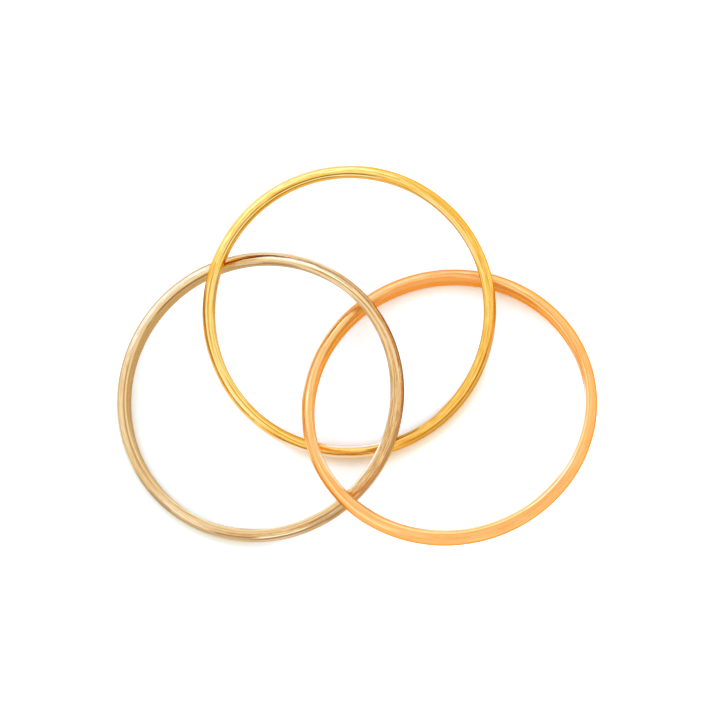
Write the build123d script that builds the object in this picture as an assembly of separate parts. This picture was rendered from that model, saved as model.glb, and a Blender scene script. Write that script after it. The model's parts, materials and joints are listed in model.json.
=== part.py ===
from build123d import *
import math
import os
from collections import namedtuple

# Three linked finger bands, spread out on a flat surface as they settle by themselves.
# Millimetres and degrees. +Z is up, the surface is Z = 0, and the origin is the middle
# of the box round all three bands, on that surface.

# Driving dimensions, the same for all three bands.
FINGER_DIAMETER = 18.0
RADIAL_THICKNESS = 0.80
BAND_WIDTH = 1.40
SIDE_LAND = 0.26
INNER_EDGE_RADIUS = 0.10

# Worked out from the driving dimensions.
FINGER_RADIUS = FINGER_DIAMETER / 2
OUTER_RADIUS = FINGER_RADIUS + RADIAL_THICKNESS
LAND_RADIUS = FINGER_RADIUS + SIDE_LAND
HALF_WIDTH = BAND_WIDTH / 2

# How each band lies.
# x, y: its centre on the surface; lean: how far its axis tips from upright;
# low_side: the heading, counter-clockwise from +X, of the side that touches the surface.
Place = namedtuple("Place", "node x y lean low_side")
PLACES = (
    Place("yellow_band", 0.26, 3.49, 10.27, -71.1),
    Place("white_band", -5.82, -1.97, 5.82, -144.7),
    Place("rose_band", 6.89, -3.11, 8.90, 84.4),
)


def band():
    """One closed band about +Z: flat inside, a narrow land on each side, domed outside."""
    with BuildSketch(Plane.XZ) as section:
        with BuildLine():
            dome = ThreePointArc(
                (LAND_RADIUS, -HALF_WIDTH),
                (OUTER_RADIUS, 0),
                (LAND_RADIUS, HALF_WIDTH),
            )
            Polyline(
                dome @ 1,
                (FINGER_RADIUS, HALF_WIDTH),
                (FINGER_RADIUS, -HALF_WIDTH),
                dome @ 0,
            )
        make_face()
        inner_edges = section.vertices().group_by(Axis.X)[0]
        fillet(inner_edges, INNER_EDGE_RADIUS)
    return revolve(section.sketch, axis=Axis.Z)


def resting_height(lean):
    """Height of a band's centre when the outer edge of its lower land just touches Z = 0."""
    tip = math.radians(lean)
    return LAND_RADIUS * math.sin(tip) + HALF_WIDTH * math.cos(tip)


def resting_plane(place):
    """The band's own plane as it lies, with X towards its low side and Z along its axis."""
    heading = math.radians(place.low_side)
    tip = math.radians(place.lean)
    axis = Vector(
        math.sin(tip) * math.cos(heading),
        math.sin(tip) * math.sin(heading),
        math.cos(tip),
    )
    downhill = Vector(
        math.cos(tip) * math.cos(heading),
        math.cos(tip) * math.sin(heading),
        -math.sin(tip),
    )
    centre = (place.x, place.y, resting_height(place.lean))
    return Plane(origin=centre, x_dir=downhill, z_dir=axis)


def linked_bands():
    """The three bands by node name, shifted together so the origin is under their middle."""
    bands = {place.node: resting_plane(place).location * band() for place in PLACES}
    boxes = [solid.bounding_box() for solid in bands.values()]
    middle_x = (min(box.min.X for box in boxes) + max(box.max.X for box in boxes)) / 2
    middle_y = (min(box.min.Y for box in boxes) + max(box.max.Y for box in boxes)) / 2
    centring = Location((-middle_x, -middle_y, 0))
    return {node: centring * solid for node, solid in bands.items()}


os.makedirs("parts", exist_ok=True)
for node, solid in linked_bands().items():
    export_step(solid, f"parts/{node}.step")
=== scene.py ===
"""Looks of three linked finger bands in yellow, white and rose gold, spread out on a pale tabletop.

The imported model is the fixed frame. Each band is turned again with a finer polish, where the
record has its finger hole, dressed in its own alloy, and seen from above in a plain bright studio.
"""

import json
import logging
import math
from dataclasses import dataclass, field
from enum import Enum
from typing import Any, ClassVar

import bpy
from mathutils import Matrix, Vector


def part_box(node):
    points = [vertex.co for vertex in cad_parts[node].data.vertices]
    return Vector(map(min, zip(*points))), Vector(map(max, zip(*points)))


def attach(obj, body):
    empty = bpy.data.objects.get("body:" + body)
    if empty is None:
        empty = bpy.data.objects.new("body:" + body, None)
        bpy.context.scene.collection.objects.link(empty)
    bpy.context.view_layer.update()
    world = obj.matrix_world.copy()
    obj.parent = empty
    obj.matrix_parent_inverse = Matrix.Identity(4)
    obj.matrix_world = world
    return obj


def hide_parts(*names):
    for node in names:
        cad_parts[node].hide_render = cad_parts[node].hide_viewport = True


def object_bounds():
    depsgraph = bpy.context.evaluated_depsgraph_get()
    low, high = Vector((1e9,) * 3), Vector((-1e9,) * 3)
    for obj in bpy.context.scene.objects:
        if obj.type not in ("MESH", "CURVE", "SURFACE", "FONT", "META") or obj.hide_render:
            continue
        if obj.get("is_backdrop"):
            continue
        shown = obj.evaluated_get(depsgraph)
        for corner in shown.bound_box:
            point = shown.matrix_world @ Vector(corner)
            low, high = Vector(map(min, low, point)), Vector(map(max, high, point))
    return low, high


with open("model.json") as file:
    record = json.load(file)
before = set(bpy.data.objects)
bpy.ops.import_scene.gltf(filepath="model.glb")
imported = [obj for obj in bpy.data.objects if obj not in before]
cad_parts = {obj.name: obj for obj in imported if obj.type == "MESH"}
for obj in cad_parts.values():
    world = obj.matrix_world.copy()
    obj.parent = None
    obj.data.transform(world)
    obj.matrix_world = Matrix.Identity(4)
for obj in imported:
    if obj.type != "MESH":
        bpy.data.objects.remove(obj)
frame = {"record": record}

log = logging.getLogger("linked_bands")

MM = 0.001

Socket = bpy.types.NodeSocket
Colour = tuple[float, float, float, float]


class Alloy(Enum):
    """The three golds, each with its CAD node, material slot and finger hole in the record."""

    YELLOW = "yellow"
    WHITE = "white"
    ROSE = "rose"

    @property
    def node(self) -> str:
        """Name of the CAD node that the dressed band stands for."""
        return f"{self.value}_band"

    @property
    def slot(self) -> str:
        """Material slot of the record."""
        return f"{self.value}_gold"

    @property
    def hole(self) -> str:
        """Name of the mount that the record gives the band's finger hole."""
        return f"finger_hole_{self.value}"


class TreeWriter:
    """Adds nodes to one node tree and wires their sockets."""

    def __init__(self, tree: bpy.types.NodeTree) -> None:
        """Keeps the tree that the nodes go into.

        Args:
            tree: A shader or geometry node tree.
        """
        self.tree = tree

    def feed(self, socket: Socket, value: Any) -> None:
        """Links a socket to another, or sets its value.

        Args:
            socket: The input to fill.
            value: An output socket, or a constant.
        """
        if isinstance(value, bpy.types.NodeSocket):
            self.tree.links.new(value, socket)
        else:
            socket.default_value = value

    def add(self, kind: str, inputs: dict[str | int, Any] | None = None,
            **settings: Any) -> bpy.types.Node:
        """Adds one node.

        Args:
            kind: Blender's name of the node type.
            inputs: Values or sockets for its inputs, by name or number.
            **settings: The node's own settings.

        Returns:
            The new node.
        """
        node = self.tree.nodes.new(kind)
        for name, value in settings.items():
            setattr(node, name, value)
        for key, value in (inputs or {}).items():
            self.feed(node.inputs[key], value)
        return node

    def math(self, operation: str, *values: Any) -> Socket:
        """Adds a Math node.

        Args:
            operation: Its operation.
            *values: Up to three numbers or sockets.

        Returns:
            Its result.
        """
        inputs = dict(enumerate(values))
        return self.add("ShaderNodeMath", inputs, operation=operation).outputs[0]

    def ramp(self, value: Any, low: float, high: float, start: float = 0.0,
             end: float = 1.0) -> Socket:
        """Maps a value smoothly from one range to another, held at both ends.

        Args:
            value: The value to map.
            low: Where the result is start.
            high: Where the result is end.
            start: Result at and before low.
            end: Result at and past high.

        Returns:
            The mapped value.
        """
        inputs = {
            "Value": value, "From Min": low, "From Max": high, "To Min": start, "To Max": end}
        node = self.add("ShaderNodeMapRange", inputs, interpolation_type="SMOOTHSTEP")
        return node.outputs["Result"]

    def blend(self, factor: Any, first: Any, second: Any) -> Socket:
        """Mixes two colours.

        Args:
            factor: Share of the second.
            first: Colour at 0.
            second: Colour at 1.

        Returns:
            The mixed colour.
        """
        node = self.add("ShaderNodeMix", data_type="RGBA")
        self.feed(node.inputs[0], factor)
        self.feed(node.inputs[6], first)
        self.feed(node.inputs[7], second)
        return node.outputs[2]


def new_group(kind: str, name: str, inputs: dict[str, str],
              outputs: dict[str, str]) -> TreeWriter:
    """Starts a node group with named sockets.

    Args:
        kind: ShaderNodeTree or GeometryNodeTree.
        name: The group's name.
        inputs: Each input's socket type.
        outputs: Each output's socket type.

    Returns:
        A writer on the new group.
    """
    group = bpy.data.node_groups.new(name, kind)
    for in_out, sockets in (("INPUT", inputs), ("OUTPUT", outputs)):
        for label, socket_type in sockets.items():
            group.interface.new_socket(
                label, in_out=in_out, socket_type=f"NodeSocket{socket_type}")
    return TreeWriter(group)


@dataclass(frozen=True)
class BandSize:
    """The section that the bands share: flat wall, rounded inner edges, side lands, domed outside.

    Lengths are in metres. hand_wave is how far the hand polish leaves the surface uneven.
    """

    finger_radius: float = 9.0 * MM
    thickness: float = 0.80 * MM
    width: float = 1.40 * MM
    side_land: float = 0.26 * MM
    edge_radius: float = 0.10 * MM
    crease_radius: float = 0.16 * MM
    dome_steps: int = 28
    wall_steps: int = 8
    edge_steps: int = 6
    crease_steps: int = 2
    turn_steps: int = 540
    hand_wave: float = 0.012 * MM

    @property
    def dome_radius(self) -> float:
        """Radius of the dome's arc through both creases and the crest."""
        half, rise = self.width / 2, self.thickness - self.side_land
        return (half * half + rise * rise) / (2 * rise)

    @property
    def dome_centre(self) -> float:
        """Distance from the band's axis to the centre of the dome's arc."""
        return self.finger_radius + self.thickness - self.dome_radius

    def inputs(self) -> dict[str, float | int]:
        """Names each size as the lathe's inputs do.

        Returns:
            Lengths in metres, and steps as whole numbers.
        """
        return {
            "Finger Radius": self.finger_radius, "Thickness": self.thickness, "Width": self.width,
            "Side Land": self.side_land, "Edge Radius": self.edge_radius,
            "Crease Radius": self.crease_radius, "Dome Steps": self.dome_steps,
            "Wall Steps": self.wall_steps, "Edge Steps": self.edge_steps,
            "Crease Steps": self.crease_steps, "Turn Steps": self.turn_steps,
            "Hand Wave": self.hand_wave}


class BandLathe:
    """The Geometry Nodes tree that turns the section round the finger hole."""

    MERGE_DISTANCE = 0.0002 * MM
    WAVES_PER_METRE = 0.35 / MM

    def __init__(self) -> None:
        """Builds the tree once, for all three bands."""
        inputs = {label: "Int" if isinstance(value, int) else "Float"
                  for label, value in BandSize().inputs().items()}
        inputs |= {"Seed": "Float", "Centre": "Vector", "Axis": "Vector", "Finish": "Material"}
        self.writer = new_group("GeometryNodeTree", "band_lathe", inputs, {"Geometry": "Geometry"})
        self.size = self.writer.add("NodeGroupInput").outputs
        self._placed(self._hand_finished(self._turned(self._section())))

    def _section(self) -> Socket:
        """Draws the closed section with x as radius and y as height along the axis.

        Returns:
            The section curve, with its edges and creases rounded.
        """
        w, size = self.writer, self.size
        half = w.math("MULTIPLY", size["Width"], 0.5)
        rise = w.math("SUBTRACT", size["Thickness"], size["Side Land"])
        squares = w.math("ADD", w.math("MULTIPLY", half, half), w.math("MULTIPLY", rise, rise))
        dome_radius = w.math("DIVIDE", squares, w.math("MULTIPLY", rise, 2.0))
        outer = w.math("ADD", size["Finger Radius"], size["Thickness"])
        dome_centre = w.math("SUBTRACT", outer, dome_radius)
        land_end = w.math("ADD", size["Finger Radius"], size["Side Land"])
        reach = w.math("ARCTAN2", half, w.math("SUBTRACT", land_end, dome_centre))

        index = w.add("GeometryNodeInputIndex").outputs[0]
        last = w.math("SUBTRACT", size["Dome Steps"], 1.0)
        swing = w.math("SUBTRACT", w.math("MULTIPLY", w.math("DIVIDE", index, last), 2.0), 1.0)
        angle = w.math("MULTIPLY", reach, swing)
        dome = w.add("ShaderNodeCombineXYZ", {
            "X": w.math("MULTIPLY_ADD", w.math("COSINE", angle), dome_radius, dome_centre),
            "Y": w.math("MULTIPLY", w.math("SINE", angle), dome_radius),
        }).outputs[0]
        down = w.math("DIVIDE", w.math("SUBTRACT", index, size["Dome Steps"]), size["Wall Steps"])
        wall = w.add("ShaderNodeCombineXYZ", {
            "X": size["Finger Radius"],
            "Y": w.math("MULTIPLY", half, w.math("SUBTRACT", 1.0, w.math("MULTIPLY", down, 2.0))),
        }).outputs[0]
        on_wall = w.math("GREATER_THAN", index, w.math("SUBTRACT", size["Dome Steps"], 0.5))
        spot = w.add("GeometryNodeSwitch", {0: on_wall, 1: dome, 2: wall},
                     input_type="VECTOR").outputs[0]

        last_of_all = w.math("ADD", size["Dome Steps"], size["Wall Steps"])
        edge = w.math("ADD", w.math("COMPARE", index, size["Dome Steps"], 0.5),
                      w.math("COMPARE", index, last_of_all, 0.5))
        crease = w.math("ADD", w.math("COMPARE", index, 0.0, 0.5),
                        w.math("COMPARE", index, last, 0.5))
        radius = w.math("ADD", w.math("MULTIPLY", edge, size["Edge Radius"]),
                        w.math("MULTIPLY", crease, size["Crease Radius"]))
        steps = w.math("ADD", w.math("MULTIPLY", edge, size["Edge Steps"]),
                       w.math("MULTIPLY", crease, size["Crease Steps"]))

        points = w.add("GeometryNodeMeshLine", {"Count": w.math("ADD", last_of_all, 1.0)})
        shaped = w.add("GeometryNodeSetPosition", {"Geometry": points.outputs[0], "Position": spot})
        curve = w.add("GeometryNodeMeshToCurve", {"Mesh": shaped.outputs[0]})
        closed = w.add("GeometryNodeSetSplineCyclic", {"Geometry": curve.outputs[0], "Cyclic": True})
        rounded = w.add("GeometryNodeFilletCurve", {
            "Curve": closed.outputs[0], "Radius": radius, "Count": steps, "Limit Radius": True},
            mode="POLY")
        return rounded.outputs[0]

    def _turned(self, profile: Socket) -> Socket:
        """Turns the section into a closed band, with a UV map of u along it and v round it.

        Args:
            profile: The section curve.

        Returns:
            The band round the Z axis.
        """
        w, size = self.writer, self.size
        counted = w.add("GeometryNodeAttributeDomainSize", {0: profile}, component="CURVE")
        corners = counted.outputs["Point Count"]
        grid = w.add("GeometryNodeMeshGrid", {
            "Size X": corners, "Vertices X": w.math("ADD", corners, 1.0),
            "Size Y": size["Turn Steps"], "Vertices Y": w.math("ADD", size["Turn Steps"], 1.0)})
        mapped = w.add("GeometryNodeStoreNamedAttribute", {
            "Geometry": grid.outputs["Mesh"], "Name": "UVMap",
            "Value": self._swapped(grid.outputs["UV Map"])}, data_type="FLOAT2", domain="CORNER")
        place = w.add("ShaderNodeSeparateXYZ", {0: w.add("GeometryNodeInputPosition").outputs[0]})
        column = w.math("ROUND", w.math("MULTIPLY_ADD", corners, 0.5, place.outputs["X"]))
        row = w.math("ROUND",
                     w.math("MULTIPLY_ADD", size["Turn Steps"], 0.5, place.outputs["Y"]))
        sample = w.add("GeometryNodeSampleIndex", {
            "Geometry": profile, "Value": w.add("GeometryNodeInputPosition").outputs[0],
            "Index": w.math("MODULO", column, corners)}, data_type="FLOAT_VECTOR")
        drawn = w.add("ShaderNodeSeparateXYZ", {0: sample.outputs[0]})
        turn = w.math("MULTIPLY", w.math("DIVIDE", row, size["Turn Steps"]), math.tau)
        spot = w.add("ShaderNodeCombineXYZ", {
            "X": w.math("MULTIPLY", drawn.outputs["X"], w.math("COSINE", turn)),
            "Y": w.math("MULTIPLY", drawn.outputs["X"], w.math("SINE", turn)),
            "Z": drawn.outputs["Y"]})
        swept = w.add("GeometryNodeSetPosition", {
            "Geometry": mapped.outputs[0], "Position": spot.outputs[0]})
        merged = w.add("GeometryNodeMergeByDistance", {
            "Geometry": swept.outputs[0], "Distance": self.MERGE_DISTANCE})
        return merged.outputs[0]

    def _swapped(self, coordinates: Socket) -> Socket:
        """Swaps x and y of a vector, so that u runs along the band.

        Args:
            coordinates: The vector.

        Returns:
            The vector with x and y swapped.
        """
        parts = self.writer.add("ShaderNodeSeparateXYZ", {0: coordinates}).outputs
        swapped = {"X": parts["Y"], "Y": parts["X"]}
        return self.writer.add("ShaderNodeCombineXYZ", swapped).outputs[0]

    def _hand_finished(self, band: Socket) -> Socket:
        """Leaves the slight unevenness of a hand-polished band.

        Args:
            band: The exact band.

        Returns:
            The band with its surface moved along its normals by a few micrometres.
        """
        w, size = self.writer, self.size
        noise = w.add("ShaderNodeTexNoise", {
            "W": size["Seed"], "Scale": self.WAVES_PER_METRE, "Detail": 1.0},
            noise_dimensions="4D").outputs[0]
        depth = w.math("MULTIPLY", w.math("SUBTRACT", noise, 0.5),
                       w.math("MULTIPLY", size["Hand Wave"], 2.0))
        normal = w.add("GeometryNodeInputNormal").outputs[0]
        push = w.add("ShaderNodeVectorMath", {0: normal, "Scale": depth}, operation="SCALE")
        moved = w.add("GeometryNodeSetPosition", {"Geometry": band, "Offset": push.outputs[0]})
        return moved.outputs[0]

    def _placed(self, band: Socket) -> None:
        """Turns and moves the band into its resting place and gives it its finish.

        Args:
            band: The band round the Z axis.
        """
        w, size = self.writer, self.size
        lean = w.add("FunctionNodeAlignRotationToVector", {"Vector": size["Axis"]}, axis="Z")
        moved = w.add("GeometryNodeTransform", {
            "Geometry": band, "Translation": size["Centre"], "Rotation": lean.outputs[0]})
        smooth = w.add("GeometryNodeSetShadeSmooth", {"Geometry": moved.outputs[0]})
        real = w.add("GeometryNodeRealizeInstances", {"Geometry": smooth.outputs[0]})
        dressed = w.add("GeometryNodeSetMaterial", {
            "Geometry": real.outputs[0], "Material": size["Finish"]})
        w.add("NodeGroupOutput", {"Geometry": dressed.outputs[0]})

    def run(self, name: str, values: dict[str, Any]) -> bpy.types.Object:
        """Makes one plain mesh with the tree.

        Args:
            name: Name of the new object.
            values: Values of the tree's inputs by name.

        Returns:
            An object at the origin with the band in its mesh and no modifier.
        """
        piece = bpy.data.objects.new(name, bpy.data.meshes.new(f"{name}_blank"))
        bpy.context.scene.collection.objects.link(piece)
        modifier = piece.modifiers.new("lathe", "NODES")
        modifier.node_group = self.writer.tree
        for socket in self.writer.tree.interface.items_tree:
            if socket.in_out == "INPUT":
                modifier[socket.identifier] = values[socket.name]
        evaluated = piece.evaluated_get(bpy.context.evaluated_depsgraph_get())
        mesh = bpy.data.meshes.new_from_object(evaluated)
        mesh.name = name
        blank = piece.data
        piece.modifiers.remove(modifier)
        piece.data = mesh
        bpy.data.meshes.remove(blank)
        return piece


@dataclass(frozen=True)
class Streaks:
    """Noise drawn out along a band.

    across counts the streaks to a millimetre of the section, along those to a radian of the
    band, and shift keeps one noise apart from the others.
    """

    across: float
    along: float
    detail: float
    shift: float

    ROUGHNESS: ClassVar[float] = 0.55

    def draw(self, w: TreeWriter, given: Any) -> Socket:
        """Adds the noise to the group of polishing lines.

        Args:
            w: Writer on the group.
            given: The group's inputs.

        Returns:
            The noise, from 0 to 1.
        """
        along = w.add("ShaderNodeVectorMath", {0: given["Along"], "Scale": self.along},
                      operation="SCALE").outputs[0]
        out = w.math("ADD", w.math("MULTIPLY", given["Round"], self.across), self.shift)
        lift = w.add("ShaderNodeCombineXYZ", {"Z": out}).outputs[0]
        spot = w.add("ShaderNodeVectorMath", {0: along, 1: lift}).outputs[0]
        return w.add("ShaderNodeTexNoise", {
            "Vector": spot, "W": given["Seed"], "Scale": 1.0, "Detail": self.detail,
            "Roughness": self.ROUGHNESS}, noise_dimensions="4D").outputs[0]


class PolishGroups:
    """Shader node groups that the three golds share.

    The limits are noise values between which a line, glint, score or patch comes in. A score is
    the low side of the noise whose high side is a glint.
    """

    LONG_LINES = Streaks(across=10.0, along=2.2, detail=1.0, shift=0.0)
    SHORT_LINES = Streaks(across=12.0, along=18.0, detail=1.5, shift=40.0)
    RUBBED_PATCHES = Streaks(across=0.6, along=3.0, detail=1.0, shift=80.0)
    FINE_LINES = Streaks(across=16.0, along=7.0, detail=1.0, shift=120.0)
    LONG_SHARE = 0.6
    LINE_LIMITS = (0.40, 0.60)
    GLINT_LIMITS = (0.56, 0.66)
    SCORE_LIMITS = (0.44, 0.34)
    PATCH_LIMITS = (0.42, 0.62)
    MARK_FULL_ALONG = 0.6
    MARK_FULL_ACROSS = 0.3

    def __init__(self) -> None:
        """Builds each group once."""
        self.section = self._section_place()
        self.lines = self._polishing_lines()
        # Mask of one line of painted reflection or painted shade.
        self.mark = self._painted_reflection_mask()

    @staticmethod
    def _section_place() -> bpy.types.NodeTree:
        """Finds where a point lies on its band.

        Returns:
            The group. Turn is in radians along the band, and Round is in millimetres round its
            section, 0 at the crest and more towards the upper side.
        """
        w = new_group("ShaderNodeTree", "section_place",
                      {"Centre": "Vector", "Lean": "Vector", "Dome Centre": "Float",
                       "Dome Radius": "Float"},
                      {"Along": "Vector", "Turn": "Float", "Round": "Float"})
        given = w.add("NodeGroupInput").outputs
        place = w.add("ShaderNodeTexCoord").outputs["Object"]
        local = w.add("ShaderNodeMapping", {
            "Vector": place, "Location": given["Centre"], "Rotation": given["Lean"],
            "Scale": (MM, MM, MM)}, vector_type="TEXTURE").outputs[0]
        parts = w.add("ShaderNodeSeparateXYZ", {0: local}).outputs
        flat = w.add("ShaderNodeCombineXYZ", {"X": parts["X"], "Y": parts["Y"]}).outputs[0]
        radius = w.add("ShaderNodeVectorMath", {0: flat}, operation="LENGTH").outputs["Value"]
        out = w.math("SUBTRACT", radius, given["Dome Centre"])
        swing = w.math("ARCTAN2", parts["Z"], out)
        w.add("NodeGroupOutput", {
            "Along": w.add("ShaderNodeVectorMath", {0: flat}, operation="NORMALIZE").outputs[0],
            "Turn": w.math("ARCTAN2", parts["Y"], parts["X"]),
            "Round": w.math("MULTIPLY", swing, given["Dome Radius"])})
        return w.tree

    def _polishing_lines(self) -> bpy.types.NodeTree:
        """Draws the fine lines that the polishing mop leaves, and the patches where they are rubbed.

        Returns:
            The group.
        """
        w = new_group("ShaderNodeTree", "polishing_lines",
                      {"Along": "Vector", "Round": "Float", "Seed": "Float"},
                      {"Height": "Float", "Lines": "Float", "Glints": "Float",
                       "Scores": "Float", "Patches": "Float"})
        given = w.add("NodeGroupInput").outputs
        long = w.math("MULTIPLY", self.LONG_LINES.draw(w, given), self.LONG_SHARE)
        short = w.math("MULTIPLY", self.SHORT_LINES.draw(w, given), 1.0 - self.LONG_SHARE)
        both = w.math("ADD", long, short)
        broad = self.RUBBED_PATCHES.draw(w, given)
        fine = self.FINE_LINES.draw(w, given)
        w.add("NodeGroupOutput", {
            "Height": both,
            "Lines": w.ramp(both, *self.LINE_LIMITS),
            "Glints": w.ramp(fine, *self.GLINT_LIMITS),
            "Scores": w.ramp(fine, *self.SCORE_LIMITS),
            "Patches": w.ramp(broad, *self.PATCH_LIMITS)})
        return w.tree

    def _painted_reflection_mask(self) -> bpy.types.NodeTree:
        """Masks one soft line of painted reflection that runs along part of a band.

        Returns:
            The group. The mask is full as far as MARK_FULL_ALONG of the line's reach and
            MARK_FULL_ACROSS of its half width, and fades from there.
        """
        w = new_group("ShaderNodeTree", "painted_reflection_mask",
                      {"Turn": "Float", "Round": "Float", "Middle": "Float", "Reach": "Float",
                       "First": "Float", "Last": "Float", "Half Width": "Float"},
                      {"Mask": "Float"})
        given = w.add("NodeGroupInput").outputs
        off = w.math("WRAP", w.math("SUBTRACT", given["Turn"], given["Middle"]), math.pi, -math.pi)
        share = w.math("DIVIDE", off, given["Reach"])
        halfway = w.math("MULTIPLY_ADD", share, 0.5, 0.5)
        rise = w.math("SUBTRACT", given["Last"], given["First"])
        line = w.math("MULTIPLY_ADD", rise, halfway, given["First"])
        gap = w.math("ABSOLUTE", w.math("SUBTRACT", given["Round"], line))
        aside = w.math("DIVIDE", gap, given["Half Width"])
        along = w.ramp(w.math("ABSOLUTE", share), self.MARK_FULL_ALONG, 1.0, 1.0, 0.0)
        across = w.ramp(aside, self.MARK_FULL_ACROSS, 1.0, 1.0, 0.0)
        w.add("NodeGroupOutput", {"Mask": w.math("MULTIPLY", along, across)})
        return w.tree


class Shade(Enum):
    """Tones that each gold's painted reflections are drawn in, from the brightest to the darkest:
    the pale ones paint highlights, the dark ones paint dark reflections and shade.
    """

    PALE = "pale"
    CREAM = "cream"
    LIGHT = "light"
    DEEP = "deep"
    DULL = "dull"
    DARK = "dark"
    DARKEST = "burnt"


@dataclass(frozen=True)
class PaintedReflection:
    """A soft line of painted reflection along part of a band: a painted highlight in a pale tone,
    painted shade in a dark one.

    start and end are degrees along the band. first and last are the line's place there, in
    millimetres round the section from the crest.
    """

    start: float
    end: float
    first: float
    last: float
    half_width: float
    shade: Shade
    strength: float

    def paint(self, w: TreeWriter, group: bpy.types.NodeTree, place: bpy.types.Node, tone: Socket,
              colour: Colour) -> Socket:
        """Lays the painted reflection over a tone.

        Args:
            w: Writer on the material.
            group: The shared painted_reflection_mask group.
            place: The material's section_place node.
            tone: The colour so far.
            colour: The line's own colour.

        Returns:
            The colour with the line.
        """
        middle, reach = (self.start + self.end) / 2, (self.end - self.start) / 2
        mark = w.add("ShaderNodeGroup", node_tree=group)
        values = {
            "Turn": place.outputs["Turn"], "Round": place.outputs["Round"],
            "Middle": math.radians(middle), "Reach": math.radians(reach),
            "First": self.first, "Last": self.last, "Half Width": self.half_width}
        for name, value in values.items():
            w.feed(mark.inputs[name], value)
        return w.blend(w.math("MULTIPLY", mark.outputs["Mask"], self.strength), tone, colour)


@dataclass(frozen=True)
class GoldFinish:
    """Polished gold of one alloy.

    palette holds the tones of its glints, scores and painted reflections. edge_tint is what it
    mirrors in at a grazing angle, and painted_rim_axis the heading and height in degrees of the axis
    that its painted rim shade is reckoned from. painted_rim_shade is painted shade on the dome where
    it turns side-on to that axis, and wall_shade_colour the inner wall's colour, painted in the
    shade it shows inside the band. DOME_END and WALL_START are in millimetres round the section, and
    RIM_TURN is how far the surface has turned from that axis, from 0 to 1.
    """

    name: str
    colour: Colour
    deep_colour: Colour
    painted_rim_shade: Colour
    wall_shade_colour: Colour
    edge_tint: Colour
    palette: dict[Shade, Colour]
    painted_reflections: tuple[PaintedReflection, ...]
    line_strength: float
    glint_strength: float
    score_strength: float
    seed: float
    roughness: float = 0.18
    line_depth: float = 0.03 * MM
    painted_rim_axis: tuple[float, float] = (-65.0, 74.0)

    DOME_END: ClassVar[tuple[float, float]] = (0.85, 0.95)
    WALL_START: ClassVar[tuple[float, float]] = (1.10, 1.20)
    RIM_TURN: ClassVar[tuple[float, float]] = (0.35, 0.80)
    ROUGHNESS_SPAN: ClassVar[tuple[float, float]] = (0.8, 1.4)

    def material(self, groups: PolishGroups, size: BandSize, centre: Vector,
                 lean: Vector) -> bpy.types.Material:
        """Builds the metal.

        Args:
            groups: The shared shader groups.
            size: Section of the band that wears it.
            centre: Middle of that band.
            lean: Euler turn of that band's axis from Z.

        Returns:
            The material.
        """
        material = bpy.data.materials.new(self.name)
        material.use_nodes = True
        material.diffuse_color = self.colour
        w = TreeWriter(material.node_tree)
        w.tree.nodes.clear()
        place = w.add("ShaderNodeGroup", node_tree=groups.section)
        w.feed(place.inputs["Centre"], centre)
        w.feed(place.inputs["Lean"], lean)
        w.feed(place.inputs["Dome Radius"], size.dome_radius / MM)
        w.feed(place.inputs["Dome Centre"], size.dome_centre / MM)
        lines = w.add("ShaderNodeGroup", node_tree=groups.lines)
        for name in ("Along", "Round"):
            w.feed(lines.inputs[name], place.outputs[name])
        w.feed(lines.inputs["Seed"], self.seed)
        tone = self._polished(w, lines)
        tone = self._painted_rim_and_wall_shade(w, place, tone)
        # Painted reflections: highlights, dark reflections and shade laid into the colour.
        for mark in self.painted_reflections:
            tone = mark.paint(w, groups.mark, place, tone, self.palette[mark.shade])
        bump = w.add("ShaderNodeBump", {
            "Height": lines.outputs["Height"], "Strength": 1.0, "Distance": self.line_depth})
        smoothest, dullest = (self.roughness * share for share in self.ROUGHNESS_SPAN)
        shader = w.add("ShaderNodeBsdfPrincipled", {
            "Base Color": tone, "Metallic": 1.0, "Specular Tint": self.edge_tint,
            "Roughness": w.ramp(lines.outputs["Patches"], 0.0, 1.0, smoothest, dullest),
            "Normal": bump.outputs[0]})
        w.add("ShaderNodeOutputMaterial", {"Surface": shader.outputs[0]})
        return material

    def _polished(self, w: TreeWriter, lines: bpy.types.Node) -> Socket:
        """Colours the polishing lines, their glints and their scores.

        Args:
            w: Writer on the material.
            lines: The material's polishing_lines node.

        Returns:
            The colour so far.
        """
        tone = self.colour
        for name, strength, colour in (
                ("Lines", self.line_strength, self.deep_colour),
                ("Glints", self.glint_strength, self.palette[Shade.LIGHT]),
                ("Scores", self.score_strength, self.palette[Shade.DEEP])):
            tone = w.blend(w.math("MULTIPLY", lines.outputs[name], strength), tone, colour)
        return tone

    def _painted_rim_and_wall_shade(self, w: TreeWriter, place: bpy.types.Node, tone: Socket) -> Socket:
        """Paints shade on the sides of the dome that turn side-on to the painted rim axis, and
        paints the inner wall in its shade colour.

        Args:
            w: Writer on the material.
            place: The material's section_place node.
            tone: The colour so far.

        Returns:
            The colour with both.
        """
        # Painted rim shade: the dome is painted darker where it turns side-on to a fixed axis.
        normal = w.add("ShaderNodeTexCoord").outputs["Normal"]
        upward = w.add("ShaderNodeVectorMath", {0: normal, 1: direction(*self.painted_rim_axis)},
                       operation="DOT_PRODUCT").outputs["Value"]
        sideways = w.math("SUBTRACT", 1.0, w.math("ABSOLUTE", upward))
        on_dome = w.ramp(place.outputs["Round"], *self.DOME_END, 1.0, 0.0)
        rim = w.math("MULTIPLY", w.ramp(sideways, *self.RIM_TURN), on_dome)
        tone = w.blend(rim, tone, self.painted_rim_shade)
        # Painted shade of the inner wall: the same gold in a darker shade colour.
        return w.blend(w.ramp(place.outputs["Round"], *self.WALL_START), tone, self.wall_shade_colour)


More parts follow.
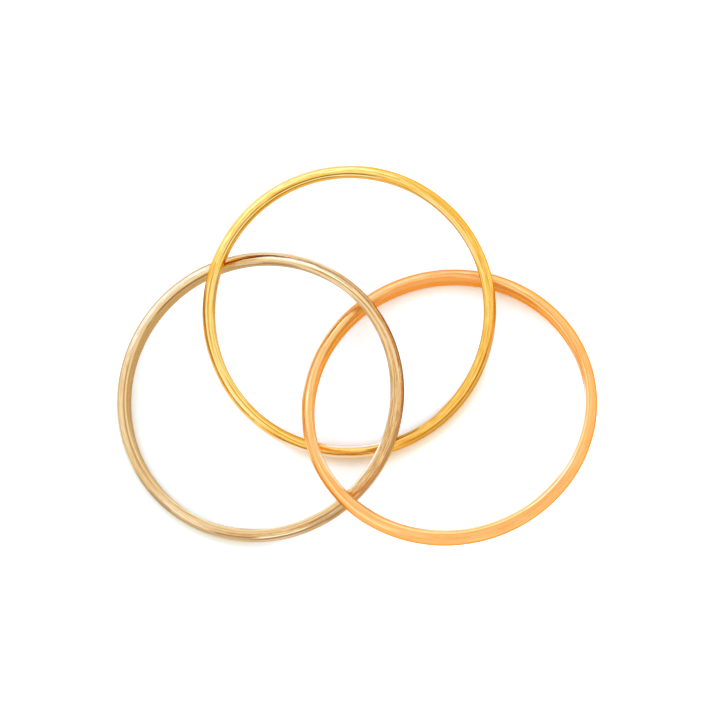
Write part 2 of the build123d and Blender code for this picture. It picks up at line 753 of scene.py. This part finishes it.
@dataclass
class FingerBand:
    """One band: its alloy, its finish, the seed of its hand polish and its section."""

    alloy: Alloy
    finish: GoldFinish
    seed: float
    size: BandSize = BandSize()
    centre: Vector = field(init=False)
    axis: Vector = field(init=False)

    def __post_init__(self) -> None:
        """Reads the band's place from the record and the CAD node."""
        low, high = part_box(self.alloy.node)
        self.centre = (low + high) / 2
        hole = next(m for m in frame["record"]["mounts"] if m["name"] == self.alloy.hole)
        self.axis = Vector(hole["axis"]).normalized()

    def build(self, lathe: BandLathe, groups: PolishGroups) -> bpy.types.Object:
        """Turns the band and dresses it.

        Args:
            lathe: The shared Geometry Nodes tree.
            groups: The shared shader groups.

        Returns:
            The finished piece.
        """
        lean = Vector((0, 0, 1)).rotation_difference(self.axis).to_euler()
        finish = self.finish.material(groups, self.size, self.centre, Vector(lean))
        piece = lathe.run(f"polished_{self.alloy.node}", self.size.inputs() | {
            "Seed": self.seed, "Centre": self.centre, "Axis": self.axis, "Finish": finish})
        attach(piece, "root")
        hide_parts(self.alloy.node)
        return piece


def mirrored_ray(w: TreeWriter, rays: Any) -> Socket:
    """Tells rays that a mirror or glass sends on from the others.

    Args:
        w: Writer on the material or world that the rays meet.
        rays: Outputs of its Light Path node.

    Returns:
        1 for glossy and transmission rays, otherwise 0.
    """
    return w.math("MAXIMUM", rays["Is Glossy Ray"], rays["Is Transmission Ray"])


def direction(azimuth: float, elevation: float) -> Vector:
    """Unit vector towards a heading from +X and a height above the table, both in degrees."""
    a, e = math.radians(azimuth), math.radians(elevation)
    return Vector((math.cos(a) * math.cos(e), math.sin(a) * math.cos(e), math.sin(e)))


@dataclass(frozen=True)
class Tabletop:
    """The pale table that the bands lie on.

    It lights the bands in its own colour, and shows lighter to the eye and in the metal. Close
    under the bands it has a soft contact shade, painted from how near the bands are.
    """

    side: float = 1.6
    colour: Colour = (0.8, 0.8, 0.8, 1.0)
    seen_colour: Colour = (1.41, 1.59, 1.70, 1.0)
    mirrored_colour: Colour = (1.2, 1.16, 1.1, 1.0)
    painted_contact_shade: Colour = (1.18, 1.27, 1.17, 1.0)
    contact_reach: float = 0.8 * MM
    contact_fade: tuple[float, float] = (0.60, 0.95)
    contact_samples: int = 6

    def build(self) -> bpy.types.Object:
        """Makes the table's top at the bands' foot.

        Returns:
            The floor, marked as stage.
        """
        half, foot = self.side / 2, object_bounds()[0].z
        mesh = bpy.data.meshes.new("tabletop")
        corners = [(x, y, foot) for x, y in (
            (-half, -half), (half, -half), (half, half), (-half, half))]
        mesh.from_pydata(corners, [], [(0, 1, 2, 3)])
        floor = bpy.data.objects.new("tabletop", mesh)
        bpy.context.scene.collection.objects.link(floor)
        mesh.materials.append(self._paper())
        floor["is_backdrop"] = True
        return floor

    def _paper(self) -> bpy.types.Material:
        """Makes plain pale paper with a painted contact shade.

        Returns:
            The material.
        """
        material = bpy.data.materials.new("table_paper")
        material.use_nodes = True
        w = TreeWriter(material.node_tree)
        w.tree.nodes.clear()
        rays = w.add("ShaderNodeLightPath").outputs
        colour = w.blend(mirrored_ray(w, rays), self.colour, self.mirrored_colour)
        # Painted contact shade: for the camera the paper turns darker where the bands close by hide
        # the room.
        near = w.add("ShaderNodeAmbientOcclusion", {"Distance": self.contact_reach},
                     samples=self.contact_samples)
        clear = w.ramp(near.outputs["AO"], *self.contact_fade)
        seen = w.blend(clear, self.painted_contact_shade, self.seen_colour)
        colour = w.blend(rays["Is Camera Ray"], colour, seen)
        shader = w.add("ShaderNodeBsdfDiffuse", {"Color": colour})
        w.add("ShaderNodeOutputMaterial", {"Surface": shader.outputs[0]})
        return material


@dataclass(frozen=True)
class Softbox:
    """One wide lamp, by its place round the bands and the angles that it fills, in degrees.

    radiance is how bright its face looks, and distance is in metres.
    """

    name: str
    azimuth: float
    elevation: float
    width: float
    height: float
    radiance: float
    colour: tuple[float, float, float]
    distance: float = 0.6

    def build(self) -> bpy.types.Object:
        """Hangs the lamp so that it faces the bands.

        Returns:
            The lamp, hidden from the camera.
        """
        lamp = bpy.data.lights.new(self.name, "AREA")
        lamp.shape = "RECTANGLE"
        lamp.size, lamp.size_y = (
            2.0 * self.distance * math.tan(math.radians(angle / 2))
            for angle in (self.width, self.height))
        lamp.energy = self.radiance * math.pi * lamp.size * lamp.size_y
        lamp.color = self.colour
        piece = bpy.data.objects.new(self.name, lamp)
        toward = direction(self.azimuth, self.elevation)
        piece.location = toward * self.distance
        piece.rotation_euler = toward.to_track_quat("Z", "Y").to_euler()
        piece.visible_camera = False
        bpy.context.scene.collection.objects.link(piece)
        return piece


# The windows add to the room's white, so that highlights on the golds come out cream.
COOL = (0.25, 0.75, 1.9)


@dataclass(frozen=True)
class Studio:
    """A white room with two soft windows. ambient is how much of the room's white lights things."""

    ambient: float = 0.9
    lamps: tuple[Softbox, ...] = (
        Softbox("main_window", azimuth=116.0, elevation=20.0, width=76.0, height=54.0,
                radiance=1.0, colour=COOL),
        Softbox("side_window", azimuth=217.0, elevation=20.0, width=26.0, height=40.0,
                radiance=0.2, colour=COOL),
    )

    def build(self) -> None:
        """Sets the world and hangs the lamps."""
        world = bpy.data.worlds.new("studio_room")
        bpy.context.scene.world = world
        world.use_nodes = True
        w = TreeWriter(world.node_tree)
        w.tree.nodes.clear()
        rays = w.add("ShaderNodeLightPath").outputs
        shown = w.math("MAXIMUM", rays["Is Camera Ray"], mirrored_ray(w, rays))
        level = w.ramp(shown, 0.0, 1.0, self.ambient, 1.0)
        background = w.add("ShaderNodeBackground", {
            "Color": (1.0, 1.0, 1.0, 1.0), "Strength": level})
        w.add("ShaderNodeOutputWorld", {"Surface": background.outputs[0]})
        for lamp in self.lamps:
            lamp.build()


@dataclass(frozen=True)
class OverheadCamera:
    """The camera high over the bands, turned a little about its own axis.

    Angles are in degrees, lens and sensor in millimetres, and the rest in metres. aim is where it
    looks, from the foot of the bands' box.
    """

    azimuth: float = 25.18
    elevation: float = 74.35
    roll: float = 26.03
    distance: float = 0.270
    lens: float = 201.5
    sensor: float = 36.0
    aim: tuple[float, float, float] = (0.00018, 0.00053, 0.00009)
    clips: tuple[float, float] = (0.01, 10.0)

    def build(self) -> bpy.types.Object:
        """Makes the camera and gives it to the scene.

        Returns:
            The camera.
        """
        a = math.radians(self.azimuth)
        back = direction(self.azimuth - 90.0, self.elevation)
        level = Vector((math.cos(a), math.sin(a), 0.0))
        upright = back.cross(level)
        roll = math.radians(self.roll)
        up = upright * math.cos(roll) + level * math.sin(roll)
        right = level * math.cos(roll) - upright * math.sin(roll)
        low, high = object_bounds()
        foot = Vector(((low.x + high.x) / 2, (low.y + high.y) / 2, low.z))
        data = bpy.data.cameras.new("overhead_camera")
        data.lens, data.sensor_width = self.lens, self.sensor
        data.clip_start, data.clip_end = self.clips
        camera = bpy.data.objects.new("overhead_camera", data)
        turn = Matrix((right, up, back)).transposed().to_4x4()
        stand = foot + Vector(self.aim) + back * self.distance
        camera.matrix_world = Matrix.Translation(stand) @ turn
        bpy.context.scene.collection.objects.link(camera)
        bpy.context.scene.camera = camera
        return camera


YELLOW_FINISH = GoldFinish(
    "yellow_gold_polish", colour=(1.0, 0.64, 0.15, 1.0), deep_colour=(0.90, 0.42, 0.03, 1.0),
    painted_rim_shade=(0.95, 0.50, 0.07, 1.0), wall_shade_colour=(0.74, 0.37, 0.04, 1.0),
    edge_tint=(1.0, 0.70, 0.14, 1.0), line_strength=0.75, glint_strength=0.65, score_strength=0.65,
    seed=3.0,
    palette={
        Shade.PALE: (1.0, 0.97, 0.98, 1.0), Shade.CREAM: (1.0, 0.93, 0.56, 1.0),
        Shade.LIGHT: (1.0, 0.81, 0.28, 1.0), Shade.DEEP: (0.80, 0.32, 0.02, 1.0),
        Shade.DULL: (0.62, 0.34, 0.08, 1.0), Shade.DARK: (0.42, 0.16, 0.01, 1.0),
        Shade.DARKEST: (0.25, 0.12, 0.02, 1.0)},
    # Painted reflections of the yellow gold: highlights, dark reflections and shade in its colour.
    painted_reflections=(
        PaintedReflection(5, 82, 0.14, 0.16, 0.24, Shade.DEEP, 0.95),
        PaintedReflection(92, 108, 0.47, 0.47, 0.06, Shade.DEEP, 0.6),
        PaintedReflection(68, 92, 0.78, 0.80, 0.08, Shade.DEEP, 0.5),
        PaintedReflection(-10, 66, 0.97, 0.97, 0.11, Shade.LIGHT, 0.7),
        PaintedReflection(16, 62, 1.11, 1.12, 0.05, Shade.CREAM, 0.7),
        PaintedReflection(58, 102, 0.93, 0.93, 0.06, Shade.LIGHT, 0.8),
        PaintedReflection(72, 132, 1.05, 1.05, 0.06, Shade.DARKEST, 0.95),
        PaintedReflection(126, 158, 1.04, 1.04, 0.05, Shade.DARKEST, 0.6),
        PaintedReflection(130, 158, 0.95, 0.95, 0.05, Shade.CREAM, 0.5),
        PaintedReflection(70, 170, 1.13, 1.12, 0.05, Shade.LIGHT, 0.8),
        PaintedReflection(72, 98, 1.15, 1.15, 0.05, Shade.CREAM, 0.6),
        PaintedReflection(76, 166, 0.27, 0.30, 0.20, Shade.PALE, 0.9),
        PaintedReflection(56, 150, 0.62, 0.62, 0.14, Shade.CREAM, 0.12),
        PaintedReflection(178, 254, 0.21, 0.21, 0.18, Shade.PALE, 0.95),
        PaintedReflection(2, 26, 0.66, 0.70, 0.06, Shade.DEEP, 0.6),
        PaintedReflection(88, 152, 1.23, 1.23, 0.07, Shade.DARKEST, 0.8),
        PaintedReflection(118, 146, 1.40, 1.44, 0.24, Shade.DARKEST, 0.6),
        PaintedReflection(159, 190, 1.60, 1.90, 0.70, Shade.DARKEST, 1.0),
        PaintedReflection(160, 176, 1.14, 1.08, 0.12, Shade.CREAM, 0.3),
        PaintedReflection(182, 206, 1.03, 1.03, 0.05, Shade.DARK, 0.8),
        PaintedReflection(170, 232, 1.75, 1.65, 0.60, Shade.DARK, 0.95),
        PaintedReflection(174, 228, 1.17, 1.17, 0.10, Shade.LIGHT, 0.7),
        PaintedReflection(6, 62, 1.26, 1.26, 0.08, Shade.DARK, 0.75),
        PaintedReflection(306, 372, 1.26, 1.25, 0.08, Shade.DARK, 0.8),
        PaintedReflection(156, 216, 0.98, 0.98, 0.12, Shade.LIGHT, 0.8),
        PaintedReflection(172, 248, 0.15, 0.20, 0.22, Shade.LIGHT, 0.6),
        PaintedReflection(158, 186, 0.20, 0.52, 0.11, Shade.DARK, 0.75),
        PaintedReflection(164, 218, 0.50, 0.59, 0.11, Shade.DARK, 0.9),
        PaintedReflection(196, 230, 0.57, 0.55, 0.10, Shade.DEEP, 0.9),
        PaintedReflection(236, 257, 0.55, 0.55, 0.08, Shade.DARK, 0.8),
        PaintedReflection(158, 236, 0.71, 0.67, 0.08, Shade.CREAM, 0.65),
        PaintedReflection(158, 196, 0.84, 0.84, 0.05, Shade.DEEP, 0.85),
        PaintedReflection(190, 242, 0.84, 0.82, 0.10, Shade.LIGHT, 0.6),
        PaintedReflection(204, 254, 0.95, 0.82, 0.05, Shade.DEEP, 0.9),
        PaintedReflection(198, 254, 1.06, 0.93, 0.05, Shade.LIGHT, 0.9),
        PaintedReflection(228, 258, 1.14, 1.06, 0.06, Shade.DEEP, 0.8),
        PaintedReflection(236, 289, 0.20, 0.20, 0.34, Shade.PALE, 1.0),
        PaintedReflection(256, 288, 0.57, 0.57, 0.07, Shade.DARK, 0.7),
        PaintedReflection(256, 290, 0.78, 0.78, 0.08, Shade.CREAM, 0.5),
        PaintedReflection(256, 290, 0.95, 0.95, 0.08, Shade.LIGHT, 0.7),
        PaintedReflection(256, 289, 1.14, 1.16, 0.12, Shade.PALE, 0.7),
        PaintedReflection(284, 372, 0.25, 0.20, 0.36, Shade.DULL, 0.9),
        PaintedReflection(334, 356, 0.20, 0.20, 0.22, Shade.PALE, 0.35),
        PaintedReflection(284, 352, 0.57, 0.57, 0.10, Shade.DARK, 0.85),
        PaintedReflection(284, 302, 1.02, 1.08, 0.08, Shade.DARKEST, 0.8),
        PaintedReflection(280, 314, 1.21, 1.21, 0.08, Shade.PALE, 0.75),
        PaintedReflection(300, 334, 1.08, 1.18, 0.06, Shade.DEEP, 0.8),
    ))
WHITE_FINISH = GoldFinish(
    "white_gold_polish", colour=(0.91, 0.60, 0.295, 1.0), deep_colour=(0.60, 0.32, 0.09, 1.0),
    painted_rim_shade=(0.70, 0.42, 0.17, 1.0), wall_shade_colour=(0.65, 0.44, 0.20, 1.0),
    edge_tint=(0.81, 0.72, 0.48, 1.0), line_strength=0.85, glint_strength=0.6, score_strength=0.7,
    seed=11.0,
    palette={
        Shade.PALE: (1.0, 0.95, 0.71, 1.0), Shade.CREAM: (1.0, 0.96, 0.55, 1.0),
        Shade.LIGHT: (0.97, 0.73, 0.41, 1.0), Shade.DEEP: (0.56, 0.33, 0.11, 1.0),
        Shade.DULL: (0.50, 0.37, 0.22, 1.0), Shade.DARK: (0.34, 0.16, 0.05, 1.0),
        Shade.DARKEST: (0.20, 0.05, 0.01, 1.0)},
    # Painted reflections of the white gold: highlights, dark reflections and shade in its colour.
    painted_reflections=(
        PaintedReflection(158, 262, 0.76, 0.76, 0.30, Shade.LIGHT, 0.5),
        PaintedReflection(104, 174, 0.72, 0.72, 0.22, Shade.LIGHT, 0.4),
        PaintedReflection(104, 172, 0.63, 0.63, 0.09, Shade.PALE, 0.3),
        PaintedReflection(104, 170, 0.89, 0.89, 0.07, Shade.DEEP, 0.3),
        PaintedReflection(116, 158, 0.96, 0.96, 0.05, Shade.LIGHT, 0.8),
        PaintedReflection(102, 128, 1.00, 1.02, 0.07, Shade.CREAM, 0.7),
        PaintedReflection(104, 160, 0.70, 0.70, 0.06, Shade.PALE, 0.4),
        PaintedReflection(4, 62, 0.95, 1.00, 0.10, Shade.LIGHT, 0.8),
        PaintedReflection(-15, 37, 0.00, 0.14, 0.27, Shade.DARKEST, 1.0),
        PaintedReflection(38, 52, 0.15, 0.20, 0.20, Shade.DARK, 0.6),
        PaintedReflection(54, 92, 0.30, 0.32, 0.22, Shade.PALE, 0.9),
        PaintedReflection(104, 168, 0.28, 0.30, 0.20, Shade.DEEP, 0.45),
        PaintedReflection(168, 214, 0.28, 0.28, 0.22, Shade.PALE, 0.65),
        PaintedReflection(176, 196, 0.82, 0.82, 0.08, Shade.PALE, 0.5),
        PaintedReflection(32, 66, 0.46, 0.68, 0.05, Shade.DARK, 0.6),
        PaintedReflection(52, 88, 0.67, 0.77, 0.06, Shade.DARK, 0.8),
        PaintedReflection(78, 98, 0.70, 0.75, 0.05, Shade.DARKEST, 0.9),
        PaintedReflection(84, 112, 0.78, 1.06, 0.07, Shade.DARKEST, 1.0),
        PaintedReflection(82, 101, 0.44, 0.50, 0.14, Shade.PALE, 0.35),
        PaintedReflection(46, 94, 0.90, 0.99, 0.15, Shade.LIGHT, 0.9),
        PaintedReflection(38, 94, 0.86, 0.97, 0.11, Shade.CREAM, 0.75),
        PaintedReflection(38, 98, 1.19, 1.19, 0.14, Shade.LIGHT, 0.8),
        PaintedReflection(0, 52, 0.60, 0.76, 0.13, Shade.LIGHT, 0.7),
        PaintedReflection(28, 70, 0.83, 1.04, 0.06, Shade.DEEP, 1.0),
        PaintedReflection(69, 94, 1.45, 1.50, 0.36, Shade.DARK, 0.85),
        PaintedReflection(70, 108, 1.75, 1.90, 0.75, Shade.DARK, 1.0),
        PaintedReflection(87, 101, 1.30, 1.30, 0.14, Shade.PALE, 0.6),
        PaintedReflection(142, 162, 1.18, 1.18, 0.06, Shade.DARK, 0.7),
        PaintedReflection(108, 214, 1.04, 1.04, 0.10, Shade.LIGHT, 0.7),
        PaintedReflection(110, 164, 0.99, 0.99, 0.03, Shade.DEEP, 0.4),
        PaintedReflection(156, 216, 1.04, 1.03, 0.08, Shade.DEEP, 1.0),
        PaintedReflection(108, 143, 1.19, 1.19, 0.06, Shade.DARK, 0.95),
        PaintedReflection(142, 216, 1.16, 1.16, 0.07, Shade.LIGHT, 0.8),
        PaintedReflection(184, 240, 1.50, 1.40, 0.50, Shade.LIGHT, 0.55),
        PaintedReflection(218, 233, 0.25, 0.30, 0.50, Shade.DARK, 0.7),
        PaintedReflection(196, 232, 0.66, 0.66, 0.13, Shade.DEEP, 0.3),
        PaintedReflection(194, 224, 1.00, 1.00, 0.14, Shade.DEEP, 0.35),
        PaintedReflection(156, 240, 1.90, 1.60, 0.50, Shade.PALE, 0.45),
        PaintedReflection(158, 220, 2.20, 2.20, 0.60, Shade.PALE, 0.7),
        PaintedReflection(165, 220, 0.54, 0.54, 0.06, Shade.DEEP, 0.5),
        PaintedReflection(202, 316, 0.38, 0.36, 0.24, Shade.DULL, 0.7),
        PaintedReflection(206, 240, 0.34, 0.40, 0.26, Shade.DARK, 0.2),
        PaintedReflection(222, 254, 1.16, 1.18, 0.10, Shade.CREAM, 0.3),
        PaintedReflection(249, 273, 0.58, 0.58, 0.10, Shade.DARK, 0.8),
        PaintedReflection(246, 292, 0.18, 0.18, 0.16, Shade.PALE, 0.4),
        PaintedReflection(296, 312, 0.30, 0.30, 0.16, Shade.DARK, 0.6),
        PaintedReflection(266, 293, 0.55, 0.55, 0.06, Shade.PALE, 1.0),
        PaintedReflection(262, 312, 0.42, 0.42, 0.08, Shade.DARK, 0.9),
        PaintedReflection(290, 316, 0.55, 0.55, 0.10, Shade.DULL, 0.8),
        PaintedReflection(226, 240, 0.72, 0.66, 0.04, Shade.PALE, 0.4),
        PaintedReflection(236, 314, 1.00, 1.00, 0.20, Shade.LIGHT, 0.7),
        PaintedReflection(288, 312, 0.76, 0.76, 0.06, Shade.DARK, 0.9),
        PaintedReflection(240, 312, 0.97, 0.97, 0.04, Shade.DEEP, 0.6),
        PaintedReflection(266, 312, 1.16, 1.18, 0.11, Shade.PALE, 0.6),
        PaintedReflection(306, 340, 1.15, 1.17, 0.15, Shade.PALE, 0.85),
        PaintedReflection(333, 360, 1.24, 1.24, 0.12, Shade.PALE, 0.5),
        PaintedReflection(312, 330, 0.52, 0.52, 0.08, Shade.DARK, 0.5),
        PaintedReflection(306, 352, 0.30, 0.30, 0.20, Shade.DARK, 0.7),
    ))
ROSE_FINISH = GoldFinish(
    "rose_gold_polish", colour=(1.0, 0.525, 0.185, 1.0), deep_colour=(0.96, 0.39, 0.08, 1.0),
    painted_rim_shade=(0.98, 0.42, 0.09, 1.0), wall_shade_colour=(1.0, 0.53, 0.20, 1.0),
    edge_tint=(1.0, 0.77, 0.28, 1.0), roughness=0.30, line_strength=0.5, glint_strength=0.25,
    score_strength=0.35, seed=23.0,
    palette={
        Shade.PALE: (1.0, 0.96, 0.70, 1.0), Shade.LIGHT: (1.0, 0.78, 0.30, 1.0),
        Shade.DEEP: (0.94, 0.35, 0.04, 1.0), Shade.DULL: (0.96, 0.42, 0.12, 1.0),
        Shade.DARK: (0.84, 0.29, 0.03, 1.0), Shade.DARKEST: (0.58, 0.22, 0.04, 1.0)},
    # Painted reflections of the rose gold: highlights, dark reflections and shade in its colour.
    painted_reflections=(
        PaintedReflection(-40, 62, 0.06, 0.44, 0.20, Shade.DEEP, 0.8),
        PaintedReflection(20, 130, 0.42, 0.50, 0.20, Shade.DEEP, 0.85),
        PaintedReflection(228, 384, 0.00, 0.00, 0.13, Shade.DARK, 0.8),
        PaintedReflection(-12, 74, 2.20, 2.20, 0.85, Shade.PALE, 0.9),
        PaintedReflection(96, 132, 0.90, 0.90, 0.12, Shade.LIGHT, 0.5),
        PaintedReflection(-16, 76, 0.16, 0.32, 0.14, Shade.DARK, 0.7),
        PaintedReflection(76, 128, 0.42, 0.42, 0.12, Shade.DARK, 0.5),
        PaintedReflection(40, 74, 0.98, 0.98, 0.05, Shade.DEEP, 0.5),
        PaintedReflection(60, 98, 0.42, 0.46, 0.18, Shade.DARKEST, 0.55),
        PaintedReflection(26, 72, 1.13, 1.13, 0.04, Shade.LIGHT, 0.8),
        PaintedReflection(12, 62, 1.05, 1.05, 0.04, Shade.DARK, 0.8),
        PaintedReflection(72, 128, 0.98, 0.98, 0.05, Shade.DARK, 0.4),
        PaintedReflection(20, 72, 0.66, 0.84, 0.10, Shade.LIGHT, 0.4),
        PaintedReflection(-20, 20, 0.96, 0.96, 0.06, Shade.LIGHT, 0.9),
        PaintedReflection(-12, 24, 1.11, 1.14, 0.05, Shade.DARK, 0.8),
        PaintedReflection(84, 118, 1.18, 1.18, 0.04, Shade.DARK, 0.6),
        PaintedReflection(126, 204, 1.12, 1.12, 0.10, Shade.LIGHT, 0.3),
        PaintedReflection(46, 76, 1.34, 1.34, 0.24, Shade.DARKEST, 0.55),
        PaintedReflection(118, 162, 1.34, 1.34, 0.18, Shade.DARKEST, 0.6),
        PaintedReflection(126, 176, 2.25, 2.25, 0.70, Shade.PALE, 0.8),
        PaintedReflection(336, 368, 1.21, 1.24, 0.10, Shade.PALE, 0.7),
        PaintedReflection(137, 178, 0.40, 0.30, 0.25, Shade.PALE, 1.0),
        PaintedReflection(174, 206, 0.20, 0.22, 0.22, Shade.PALE, 0.7),
        PaintedReflection(128, 200, 0.73, 0.52, 0.07, Shade.DARK, 0.75),
        PaintedReflection(126, 205, 0.88, 0.76, 0.08, Shade.LIGHT, 0.45),
        PaintedReflection(131, 202, 0.97, 0.92, 0.07, Shade.DEEP, 0.5),
        PaintedReflection(174, 232, 0.82, 0.80, 0.08, Shade.DEEP, 0.4),
        PaintedReflection(200, 223, 1.10, 1.18, 0.14, Shade.PALE, 0.45),
        PaintedReflection(220, 240, 1.18, 1.18, 0.12, Shade.DARKEST, 0.7),
        PaintedReflection(195, 256, 0.74, 0.48, 0.08, Shade.LIGHT, 0.8),
        PaintedReflection(230, 266, 0.62, 0.74, 0.16, Shade.LIGHT, 0.35),
        PaintedReflection(322, 376, 0.74, 0.78, 0.14, Shade.LIGHT, 0.35),
        PaintedReflection(200, 232, 0.30, 0.20, 0.22, Shade.DARK, 0.8),
        PaintedReflection(232, 262, 0.22, 0.22, 0.16, Shade.DULL, 0.8),
        PaintedReflection(222, 366, 0.98, 0.97, 0.08, Shade.LIGHT, 0.95),
        PaintedReflection(300, 338, 0.96, 0.95, 0.07, Shade.PALE, 0.9),
        PaintedReflection(222, 262, 1.11, 1.11, 0.05, Shade.DARK, 0.8),
        PaintedReflection(256, 326, 1.14, 1.14, 0.10, Shade.LIGHT, 0.4),
        PaintedReflection(318, 372, 1.14, 1.18, 0.10, Shade.PALE, 0.85),
    ))
BANDS = (
    FingerBand(Alloy.YELLOW, YELLOW_FINISH, seed=1.0),
    FingerBand(Alloy.WHITE, WHITE_FINISH, seed=2.0),
    FingerBand(Alloy.ROSE, ROSE_FINISH, seed=3.0),
)


def main() -> None:
    """Builds the studio and the bands and reports each piece."""
    logging.basicConfig(level=logging.INFO, format="%(name)s: %(message)s")
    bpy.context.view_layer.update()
    bpy.context.scene.view_settings.view_transform = "Standard"
    log.info("floor %s", Tabletop().build().name)
    Studio().build()
    log.info("camera %s", OverheadCamera().build().name)
    lathe, groups = BandLathe(), PolishGroups()
    for band in BANDS:
        piece = band.build(lathe, groups)
        log.info("%s: %d faces", piece.name, len(piece.data.polygons))


if __name__ == "__main__":
    main()
